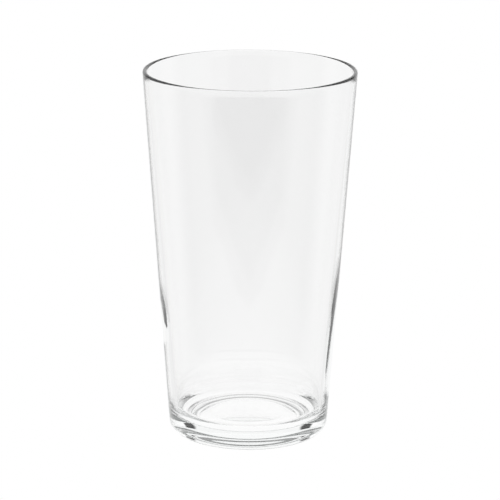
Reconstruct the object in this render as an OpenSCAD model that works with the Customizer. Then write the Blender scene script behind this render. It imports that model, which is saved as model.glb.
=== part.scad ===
// Mixing glass: a plain conical bar tumbler, pressed as one piece of clear glass.
// The origin is at the centre of the foot on the resting plane, and +Z points up out of the mouth.

/* [Mouth] */
// Outer diameter over the rounded rim
rim_d = 88; // [80:0.5:96]
// Thickness of the glass at the rim, which is also the diameter of its rounding
rim_t = 1.8; // [1.6:0.1:3.4]

/* [Wall] */
// Height from the resting plane to the top of the rim
glass_h = 154; // [130:1:175]
// Diameter at which the straight outer side would meet the resting plane
foot_d = 66; // [65:0.5:72]
// Gap between the straight outer and inner sides, where both would meet the resting plane
foot_wall_t = 3.8; // [2.4:0.1:4.5]

/* [Base] */
// Height of the inside floor above the resting plane, at the floor's edge
floor_h = 7.4; // [6:0.1:14]
// How much higher the slightly domed floor stands in its middle
dome_h = 1.5; // [0.2:0.1:2.5]
// Radius of the inside corner between floor and wall
corner_r = 7; // [3:0.5:12]
// Radius of the rounded heel between wall and foot
heel_r = 4.5; // [3:0.5:6.5]
// Diameter of the shallow hollow under the foot, where it meets the standing ring
hollow_d = 50; // [40:1:51]
// Diameter of the flat middle of that hollow
hollow_flat_d = 28; // [10:1:32]
// Depth of that hollow at its middle
hollow_h = 2.5; // [0.8:0.1:3]

/* [Quality] */
// Flat steps round a full turn
turn_steps = 180; // [60:12:360]

/* [Hidden] */
$fn = turn_steps;
rim_r = rim_t / 2;
rim = [rim_d / 2 - rim_r, glass_h - rim_r];
// How far the cavity's outline runs on above the rim, and the hollow's below the foot
clear_h = 5;
// Width of the level ring between the floor's dome and the rounded corner
level_w = 0.5;
// How far a straight side reaches into a circle that it touches, so that the two always meet
snug = 0.001;

// A straight side starts at radius x on the resting plane and touches the rim's rounding,
// on its outer face where face is 1 and on its inner face where face is -1.
// This is the angle it leans out from upright.
function lean(x, face) =
    atan((rim.x - x) / rim.y) + face * asin(rim_r / norm([rim.x - x, rim.y]));

// Radius of that side at height z
function side_x(x, tilt, z) = x + z * tan(tilt);

// Centre of a circle of radius r that lies against the side, towards the axis, and on height z
function nested(x, tilt, r, z) = [side_x(x, tilt, z + r) - r / cos(tilt), z + r];

// Where a circle round centre meets a line that leans by tilt and just touches it
function touching(centre, r, tilt) = centre + r * [cos(tilt), -sin(tilt)];

// Radius of an arc that starts level and falls by h over a run of w
function arc_r(w, h) = (w * w + h * h) / (2 * h);

outer_x = foot_d / 2;
outer_lean = lean(outer_x, 1);
heel = nested(outer_x, outer_lean, heel_r, 0);

inner_x = outer_x - foot_wall_t;
inner_lean = lean(inner_x, -1);
corner = nested(inner_x, inner_lean, corner_r, floor_h);
rim_inside = touching(rim, -rim_r, inner_lean);

// Everything within the outer surface, from the axis outwards
module outline() {
    polygon([
        [0, 0],
        [heel.x, 0],
        touching(heel, heel_r - snug, outer_lean),
        touching(rim, rim_r - snug, outer_lean),
        rim,
        rim_inside,
        [0, rim_inside.y]
    ]);
    translate(heel)
        circle(heel_r);
    translate(rim)
        circle(rim_r);
}

// The space that holds the drink, with its rounded bottom corner and domed floor
module cavity() {
    top = glass_h + clear_h;
    dome_r = arc_r(corner.x - level_w, dome_h);
    difference() {
        union() {
            polygon([
                [0, floor_h],
                [corner.x, floor_h],
                touching(corner, corner_r - snug, inner_lean),
                [side_x(inner_x, inner_lean, top) + snug, top],
                [0, top]
            ]);
            translate(corner)
                circle(corner_r);
        }
        translate([0, floor_h + dome_h - dome_r])
            circle(dome_r);
    }
}

// The hollow that leaves the foot standing on a narrow ring. A rounded shoulder leads down from
// its flat middle to the ring.
module hollow() {
    shoulder_r = arc_r((hollow_d - hollow_flat_d) / 2, hollow_h);
    translate([0, -clear_h])
        square([hollow_flat_d / 2, clear_h + hollow_h]);
    translate([hollow_flat_d / 2, hollow_h - shoulder_r + snug])
        circle(shoulder_r);
}

module mixing_glass() {
    color([0.92, 0.95, 0.96, 0.4])
        rotate_extrude()
            difference() {
                outline();
                cavity();
                hollow();
            }
}

mixing_glass();
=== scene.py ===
import math

import bpy
from mathutils import Matrix, Vector


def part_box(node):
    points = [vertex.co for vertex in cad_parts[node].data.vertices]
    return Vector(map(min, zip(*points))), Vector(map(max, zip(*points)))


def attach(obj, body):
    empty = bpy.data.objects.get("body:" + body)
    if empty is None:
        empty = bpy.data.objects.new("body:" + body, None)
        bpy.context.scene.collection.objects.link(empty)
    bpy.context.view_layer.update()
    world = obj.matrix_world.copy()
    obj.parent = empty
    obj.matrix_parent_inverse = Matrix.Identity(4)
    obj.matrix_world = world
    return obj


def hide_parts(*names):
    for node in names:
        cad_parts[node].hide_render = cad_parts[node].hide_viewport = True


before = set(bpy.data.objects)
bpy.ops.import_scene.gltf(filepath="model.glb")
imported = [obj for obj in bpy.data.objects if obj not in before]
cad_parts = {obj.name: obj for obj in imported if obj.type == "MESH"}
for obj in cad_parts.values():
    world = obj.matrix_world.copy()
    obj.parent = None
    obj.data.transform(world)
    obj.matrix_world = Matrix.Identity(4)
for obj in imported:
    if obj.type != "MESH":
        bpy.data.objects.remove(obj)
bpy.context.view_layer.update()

# A conical mixing glass pressed from one gather of clear glass, standing on a plain pale floor.
# Lengths are in metres, with +Z up and the centre of the foot at the origin, as in the CAD model.
MM = 0.001

# ---------------------------------------------------------------- sizes of the glass

cad_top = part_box("mixing_glass")[1]  # the highest corner of the CAD glass's box
GLASS_H = cad_top.z
RIM_X = cad_top.x                   # outer radius of the rim
RIM_T = 1.8 * MM                    # wall at the rim, which is the diameter of its rounding
FOOT_X = 33 * MM                    # radius where the straight outer side would meet the floor
FOOT_WALL_T = 3.8 * MM              # gap between the straight sides at that height
FLOOR_H = 7.4 * MM                  # height of the inside floor at its edge
DOME_H = 1.5 * MM                   # how much higher the domed floor stands in its middle
LEVEL_W = 0.5 * MM                  # width of the level ring between the dome and the inside corner
CORNER_R = 7 * MM                   # inside corner between floor and wall
HEEL_R = 4.5 * MM                   # rounded heel between wall and foot
HOLLOW_X = 25 * MM                  # radius of the hollow under the foot
HOLLOW_FLAT_X = 14 * MM             # radius of its flat middle
HOLLOW_H = 2.5 * MM                 # height of its flat middle above the foot

TURN_STEPS = 256                    # corners of the mesh round the glass
SIDE_STEPS = 56                     # rings along each straight side
ROUND_STEPS = 24                    # rings round each rounded corner
FLAT_STEPS = 4                      # rings across each flat part of the foot
DOME_STEPS = 16                     # rings across the domed floor

# The inner side swells a little in two places, which darkens the edge of the wall there. Each swell has
# its direction from +X, the height where it is deepest, how far it reaches to each side, above and
# below, and its depth.
SWELLS = [
    {"turn": math.radians(180), "z": 44 * MM, "round": math.radians(21),
     "above": 20 * MM, "below": 4 * MM, "depth": 0.7 * MM},
    {"turn": 0.0, "z": 29 * MM, "round": math.radians(22),
     "above": 49 * MM, "below": 20 * MM, "depth": 0.7 * MM},
]


# ---------------------------------------------------------------- outline of the wall


def arc(centre, radius, start, end, steps):
    """Points on a circle, with both angles in radians from +X."""
    turns = [start + (end - start) * i / steps for i in range(steps + 1)]
    return [centre + radius * Vector((math.cos(t), math.sin(t))) for t in turns]


def between(a, b, steps):
    """Points on a straight line, without its two ends."""
    return [a.lerp(b, i / steps) for i in range(1, steps)]


def lean(rim, x, face):
    """How far a straight side leans out from upright, when it starts at radius x on the floor
    and touches the rim's rounding on its outer face (face 1) or its inner face (face -1)."""
    run = rim.x - x
    return math.atan(run / rim.y) + face * math.asin(RIM_T / 2 / math.hypot(run, rim.y))


def nested(x, tilt, radius, z):
    """Centre of a circle that lies against a leaning side, towards the axis, and stands on height z."""
    return Vector((x + (z + radius) * math.tan(tilt) - radius / math.cos(tilt), z + radius))


def falling(x, top, run, fall, steps):
    """An arc that leaves the point (x, top) level and falls away over a run outwards."""
    radius = (run * run + fall * fall) / (2 * fall)
    return arc(Vector((x, top - radius)), radius, math.pi / 2, math.acos(run / radius), steps)


def outline():
    """The wall's outline in the plane of the axis, from the middle of the foot up the outer side,
    over the rim and down the inner side to the middle of the inside floor."""
    rim = Vector((RIM_X - RIM_T / 2, GLASS_H - RIM_T / 2))
    inner_x = FOOT_X - FOOT_WALL_T
    outer, inner = lean(rim, FOOT_X, 1), lean(rim, inner_x, -1)
    heel = nested(FOOT_X, outer, HEEL_R, 0)
    corner = nested(inner_x, inner, CORNER_R, FLOOR_H)
    under = Vector((0, HOLLOW_H))

    shoulder = falling(HOLLOW_FLAT_X, HOLLOW_H, HOLLOW_X - HOLLOW_FLAT_X, HOLLOW_H, ROUND_STEPS)
    heel_arc = arc(heel, HEEL_R, -math.pi / 2, -outer, ROUND_STEPS)
    rim_arc = arc(rim, RIM_T / 2, -outer, math.pi - inner, ROUND_STEPS)
    corner_arc = arc(corner, CORNER_R, -inner, -math.pi / 2, ROUND_STEPS)
    dome = falling(0, FLOOR_H + DOME_H, corner.x - LEVEL_W, DOME_H, DOME_STEPS)
    points = [under] + between(under, shoulder[0], FLAT_STEPS) + shoulder
    points += between(shoulder[-1], heel_arc[0], FLAT_STEPS) + heel_arc
    points += between(heel_arc[-1], rim_arc[0], SIDE_STEPS) + rim_arc
    points += between(rim_arc[-1], corner_arc[0], SIDE_STEPS) + corner_arc
    return points + dome[::-1]


# ---------------------------------------------------------------- mesh


def bell(t):
    """1 at t = 0, falling smoothly to 0 at t = 1 and beyond."""
    return 0.5 + 0.5 * math.cos(math.pi * min(abs(t), 1))


def swell(turn, z):
    """How far the inner side stands in from its straight line, in one direction and at one height."""
    depth = 0
    for s in SWELLS:
        aside = math.remainder(turn - s["turn"], 2 * math.pi) / s["round"]
        along = (z - s["z"]) / (s["above"] if z > s["z"] else s["below"])
        depth += s["depth"] * bell(aside) * bell(along)
    return depth


def lathe(name, points):
    """A closed mesh of rings round the axis. The first and last points lie on the axis and close it.
    The rings after the highest one are on the inner side, which swells."""
    rings = points[1:-1]
    highest = max(range(len(rings)), key=lambda k: rings[k].y)
    verts = []
    for k, p in enumerate(rings):
        for i in range(TURN_STEPS):
            turn = 2 * math.pi * i / TURN_STEPS
            x = p.x - (swell(turn, p.y) if k > highest else 0)
            verts.append((x * math.cos(turn), x * math.sin(turn), p.y))
    under, inside = len(verts), len(verts) + 1
    verts += [(0, 0, points[0].y), (0, 0, points[-1].y)]

    faces = []
    last_ring = (len(rings) - 1) * TURN_STEPS
    for ring in range(0, last_ring, TURN_STEPS):
        for i in range(TURN_STEPS):
            j = (i + 1) % TURN_STEPS
            faces.append((ring + i, ring + j, ring + TURN_STEPS + j, ring + TURN_STEPS + i))
    for i in range(TURN_STEPS):
        j = (i + 1) % TURN_STEPS
        faces.append((under, j, i))
        faces.append((inside, last_ring + i, last_ring + j))

    mesh = bpy.data.meshes.new(name)
    mesh.from_pydata(verts, [], faces)
    mesh.shade_smooth()
    piece = bpy.data.objects.new(name, mesh)
    bpy.context.scene.collection.objects.link(piece)
    return piece


# ---------------------------------------------------------------- nodes

WHITE = (1, 1, 1, 1)


class Graph:
    """Adds nodes to one node tree and joins them."""

    def __init__(self, tree):
        self.tree = tree
        tree.nodes.clear()

    def node(self, kind, inputs=(), **settings):
        """A node with its settings. Its inputs are given by name or by place, as values or as the
        outputs of other nodes."""
        made = self.tree.nodes.new(kind)
        for key, value in settings.items():
            setattr(made, key, value)
        for key, value in dict(inputs).items():
            if isinstance(value, bpy.types.NodeSocket):
                self.tree.links.new(value, made.inputs[key])
            else:
                made.inputs[key].default_value = value
        return made

    def math(self, operation, *values):
        return self.node("ShaderNodeMath", enumerate(values), operation=operation).outputs[0]

    def soft_step(self, value, start, end):
        """0 below start and 1 above end, with a smooth rise between them."""
        inputs = {"Value": value, "From Min": start, "From Max": end}
        return self.node("ShaderNodeMapRange", inputs, interpolation_type="SMOOTHSTEP").outputs[0]

    def ramp(self, value, start, end, rise):
        """0 below start and rise above end, with a straight line between them."""
        inputs = {"Value": value, "From Min": start, "From Max": end, "To Min": 0, "To Max": rise}
        return self.node("ShaderNodeMapRange", inputs).outputs[0]

    def blend(self, share, a, b):
        """a where share is 0 and b where it is 1. The node's number inputs are in places 0, 2 and 3."""
        return self.node("ShaderNodeMix", {0: share, 2: a, 3: b}, data_type="FLOAT").outputs[0]


def new_material(name):
    material = bpy.data.materials.new(name)
    material.use_nodes = True
    return material, Graph(material.node_tree)


# ---------------------------------------------------------------- glass

GLASS_IOR = 1.52
GLASS_TINT = (0.93, 0.97, 0.96, 1)  # the colour that the glass lets through best
TINT_DENSITY = 4.0                  # how strongly it takes the rest away, per metre
RIPPLE_H = 0.0006 * MM              # height of the faint ripples of the pressed surface
RIPPLE_SCALE = 45                   # ripples to the metre
RIPPLE_DETAIL = 1                   # finer layers of noise in them
SCUFF_TOP = 0.4 * MM                # the standing ring is scuffed up to this height
SCUFF_SCALE = 900                   # scuffs to the metre
SCUFF_DETAIL = 3
SCUFF_FROM = 0.45                   # noise level at which a scuff begins
SCUFF_FULL = 0.65                   # noise level from which it is as rough as it gets
SCUFF_ROUGHNESS = 0.12


def glass_material():
    """Clear pressed glass: faintly tinted where it is thick, rippled by the mould, and scuffed where
    it stands."""
    material, g = new_material("clear_glass")
    place = g.node("ShaderNodeTexCoord").outputs["Object"]
    height = g.node("ShaderNodeSeparateXYZ", {0: place}).outputs[2]

    def noise(scale, detail):
        inputs = {"Vector": place, "Scale": scale, "Detail": detail}
        return g.node("ShaderNodeTexNoise", inputs).outputs["Fac"]

    standing = g.math("SUBTRACT", 1, g.soft_step(height, 0, SCUFF_TOP))
    scratches = g.soft_step(noise(SCUFF_SCALE, SCUFF_DETAIL), SCUFF_FROM, SCUFF_FULL)
    scuffs = g.math("MULTIPLY", standing, scratches)
    ripples = noise(RIPPLE_SCALE, RIPPLE_DETAIL)
    bump = g.node("ShaderNodeBump", {"Height": ripples, "Distance": RIPPLE_H, "Strength": 1})
    surface = g.node("ShaderNodeBsdfPrincipled", {
        "Base Color": WHITE,
        "Roughness": g.math("MULTIPLY", scuffs, SCUFF_ROUGHNESS),
        "IOR": GLASS_IOR,
        "Transmission Weight": 1,
        "Normal": bump.outputs[0],
    })
    tint = g.node("ShaderNodeVolumeAbsorption", {"Color": GLASS_TINT, "Density": TINT_DENSITY})
    g.node("ShaderNodeOutputMaterial", {"Surface": surface.outputs[0], "Volume": tint.outputs[0]})
    return material


glass = lathe("glass_body", outline())
glass.data.materials.append(glass_material())
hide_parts("mixing_glass")
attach(glass, "root")

# ---------------------------------------------------------------- camera

CAMERA_AWAY = 1.075                 # from the camera to the point it aims at
CAMERA_ELEVATION = math.radians(15.23)
CAMERA_ROLL = math.radians(0.333)
AIM_Z = 77.55 * MM
SENSOR_W = 36.0                     # in millimetres
FOCAL_LENGTH = 185.9                # in millimetres: a long lens
SHIFT_X = 0.0018                    # share of the picture's width


def studio_camera():
    data = bpy.data.cameras.new("camera")
    data.sensor_width = SENSOR_W
    data.lens = FOCAL_LENGTH
    data.shift_x = SHIFT_X
    camera = bpy.data.objects.new("camera", data)
    bpy.context.scene.collection.objects.link(camera)
    aim = Vector((0, 0, AIM_Z))
    back = Vector((0, -math.cos(CAMERA_ELEVATION), math.sin(CAMERA_ELEVATION)))
    camera.location = aim + CAMERA_AWAY * back
    turn = (-back).to_track_quat("-Z", "Y").to_matrix() @ Matrix.Rotation(CAMERA_ROLL, 3, "Z")
    camera.rotation_euler = turn.to_euler()
    return camera


bpy.context.scene.camera = studio_camera()

# ---------------------------------------------------------------- studio

# The glass is lit from behind, as a clear glass has to be. A bright backdrop stands straight ahead of
# the camera, with a narrow dark flag along each side of it that draws the edges, and pale walls beyond
# the flags. All of these end a little above the horizon, and the pale floor is seen below them. The
# camera's own side of the studio is dimmer. It has a dark gap in it, and a bright stretch of floor
# nearer the glass. Over everything there is a dim ceiling, and under the glass a bright table.
# The lights keep their places round the camera, as when the glass is turned on a table between views.
# Brightness 1 is the white of the background. Angles are in degrees: to the side they count from
# straight ahead of the camera, a height counts up from the horizon, and a depth counts down from it.
# A blur is the distance from the middle of a soft edge to either end of it.
BACKDROP_LEFT = 31.9                # how far the backdrop reaches to the left
BACKDROP_RIGHT = 32.2               # and to the right
BACKDROP_BLUR = 1.5
BACKDROP_LIGHT = 0.96               # of the backdrop, and of the floor in front of it
FLAG_W = 9.1                        # how wide each flag is
FLAG_LIGHT = 0.02
WALL_BLUR = 1.5
WALL_LIGHT = 1.07
UPRIGHT_FROM = 5                    # height at which backdrop, flags and walls end and the floor begins
UPRIGHT_BLUR = 2

FLOOR_LEFT = 28.2                   # how far the bright part of the floor reaches to the left
FLOOR_RIGHT = 30.2                  # and to the right
FLOOR_BLUR = 3
FLOOR_SIDE_LIGHT = 0.85             # of the floor beyond it

CAMERA_SIDE_FROM = 87               # how far round the camera's own side begins
CAMERA_SIDE_BLUR = 10
CAMERA_SIDE_LIGHT = 0.5
UPPER_TO = 2                        # depth down to which that side is dimmer still
UPPER_BLUR = 1
UPPER_LIGHT = 0.3
NEAR_FLOOR_FROM = 25                # depth at which the bright floor on that side begins
NEAR_FLOOR_BLUR = 1
NEAR_FLOOR_LIGHT = 0.95

# The dark gap's outline, from the top down. Each point has its depth and how far the gap reaches there,
# to each side of straight behind the camera. The gap has an upper and a lower part, and the upper part
# goes on upwards at its first reach.
GAP_CLOSED = -5                     # a reach too small for even the blurred edge of the gap to show
GAP_SHAPE = [
    (3.2, 24), (3.8, 46), (5.8, 44), (7.2, GAP_CLOSED),
    (18.4, GAP_CLOSED), (18.8, 54), (22.4, 42), (24.3, 15), (24.9, GAP_CLOSED),
]
GAP_BLUR = 4
GAP_LIGHT = 0

CEILING_FROM = 50                   # height at which the ceiling begins
CEILING_LIGHT = 0.35
TABLE_FROM = 47.6                   # depth at which the table begins
TABLE_LIGHT = 1.05
LEVEL_BLUR = 6                      # of the ceiling's and the table's edges

PLAIN_LIGHT = 1                     # of the floor and the background, as the camera sees them
PATCH_R = 47 * MM                   # the glass sees the floor's own light only this close to its foot
PATCH_BLUR = 0.1 * PATCH_R
PATCH_LIGHT = 1.0
FLOOR_R = 1.5
FLOOR_CORNERS = 96
FLOOR_DROP = 0.15 * MM              # a small gap under the foot, which keeps the two surfaces apart
BOUNCES = 32                        # enough for light to find its way out of the thick base


def angles_from_camera(g):
    """A ray's turn to the right of straight ahead and its height above the horizon, in degrees."""
    ray = g.node("ShaderNodeSeparateXYZ", {0: g.node("ShaderNodeTexCoord").outputs["Generated"]}).outputs
    forward = g.node("ShaderNodeVectorTransform", {0: (0, 0, 1)}, vector_type="VECTOR",
                     convert_from="CAMERA", convert_to="WORLD").outputs[0]
    ahead = g.node("ShaderNodeSeparateXYZ", {0: forward}).outputs
    along = g.math("ADD", g.math("MULTIPLY", ray[0], ahead[0]), g.math("MULTIPLY", ray[1], ahead[1]))
    across = g.math("SUBTRACT", g.math("MULTIPLY", ray[0], ahead[1]), g.math("MULTIPLY", ray[1], ahead[0]))
    turn = g.math("DEGREES", g.math("ARCTAN2", across, along))
    height = g.math("DEGREES", g.math("ARCSINE", ray[2]))
    return turn, height


def dark_gap(g, aside, depth):
    """1 in the dark gap behind the camera and 0 elsewhere."""
    reach = GAP_SHAPE[0][1]
    for (top, start), (bottom, end) in zip(GAP_SHAPE, GAP_SHAPE[1:]):
        reach = g.math("ADD", reach, g.ramp(depth, top, bottom, end - start))
    from_behind = g.math("SUBTRACT", 180, aside)
    return g.soft_step(g.math("SUBTRACT", reach, from_behind), -GAP_BLUR, GAP_BLUR)


def light_round_glass(g):
    """How bright the studio is in each direction."""
    right, height = angles_from_camera(g)
    left = g.math("MULTIPLY", right, -1)
    depth = g.math("MULTIPLY", height, -1)
    aside = g.math("ABSOLUTE", right)

    def past(angle, edge, blur):
        return g.soft_step(angle, edge - blur, edge + blur)

    def beyond(left_edge, right_edge, blur):
        return g.math("ADD", past(left, left_edge, blur), past(right, right_edge, blur))

    walls = beyond(BACKDROP_LEFT + FLAG_W, BACKDROP_RIGHT + FLAG_W, WALL_BLUR)
    flags = beyond(BACKDROP_LEFT, BACKDROP_RIGHT, BACKDROP_BLUR)
    upright = g.blend(flags, BACKDROP_LIGHT, g.blend(walls, FLAG_LIGHT, WALL_LIGHT))
    floor = g.blend(beyond(FLOOR_LEFT, FLOOR_RIGHT, FLOOR_BLUR), BACKDROP_LIGHT, FLOOR_SIDE_LIGHT)
    light = g.blend(past(height, UPRIGHT_FROM, UPRIGHT_BLUR), floor, upright)

    camera_side = g.blend(past(depth, UPPER_TO, UPPER_BLUR), UPPER_LIGHT, CAMERA_SIDE_LIGHT)
    camera_side = g.blend(dark_gap(g, aside, depth), camera_side, GAP_LIGHT)
    camera_side = g.blend(past(depth, NEAR_FLOOR_FROM, NEAR_FLOOR_BLUR), camera_side, NEAR_FLOOR_LIGHT)
    light = g.blend(past(aside, CAMERA_SIDE_FROM, CAMERA_SIDE_BLUR), light, camera_side)
    light = g.blend(past(height, CEILING_FROM, LEVEL_BLUR), light, CEILING_LIGHT)
    return g.blend(past(depth, TABLE_FROM, LEVEL_BLUR), light, TABLE_LIGHT)


def plain_to_camera(g, kind, shader):
    """The shader as the glass sees it. The camera sees plain white of the given kind instead."""
    seen_by_camera = g.node("ShaderNodeLightPath").outputs["Is Camera Ray"]
    plain = g.node(kind, {"Color": WHITE, "Strength": PLAIN_LIGHT}).outputs[0]
    return g.node("ShaderNodeMixShader", {0: seen_by_camera, 1: shader, 2: plain}).outputs[0]


def studio():
    world = bpy.data.worlds.new("studio")
    bpy.context.scene.world = world
    world.cycles.sampling_method = "NONE"  # no surface here is lit diffusely, so no light has to be picked
    world.use_nodes = True
    g = Graph(world.node_tree)
    lights = g.node("ShaderNodeBackground", {"Color": WHITE, "Strength": light_round_glass(g)}).outputs[0]
    g.node("ShaderNodeOutputWorld", {0: plain_to_camera(g, "ShaderNodeBackground", lights)})


def floor_material():
    """Pale and evenly lit. Away from the foot, the glass sees the studio's own lights instead of it."""
    material, g = new_material("pale_floor")
    place = g.node("ShaderNodeTexCoord").outputs["Object"]
    away = g.node("ShaderNodeVectorMath", {0: place}, operation="LENGTH").outputs["Value"]
    far = g.soft_step(away, PATCH_R - PATCH_BLUR, PATCH_R + PATCH_BLUR)
    patch = g.node("ShaderNodeEmission", {"Color": WHITE, "Strength": PATCH_LIGHT}).outputs[0]
    clear = g.node("ShaderNodeBsdfTransparent", {"Color": WHITE}).outputs[0]
    lit = g.node("ShaderNodeMixShader", {0: far, 1: patch, 2: clear}).outputs[0]
    g.node("ShaderNodeOutputMaterial", {0: plain_to_camera(g, "ShaderNodeEmission", lit)})
    return material


def pale_floor():
    bpy.ops.mesh.primitive_circle_add(vertices=FLOOR_CORNERS, radius=FLOOR_R, fill_type="NGON")
    floor = bpy.context.object
    floor.name = "floor"
    floor.location.z = -FLOOR_DROP
    floor.data.materials.append(floor_material())


def light_paths(scene):
    """White stays white, and light may pass through many surfaces of the glass."""
    scene.view_settings.view_transform = "Standard"
    scene.cycles.max_bounces = BOUNCES
    scene.cycles.transmission_bounces = BOUNCES
    scene.cycles.glossy_bounces = BOUNCES
    scene.cycles.sample_clamp_indirect = 0


studio()
pale_floor()
light_paths(bpy.context.scene)
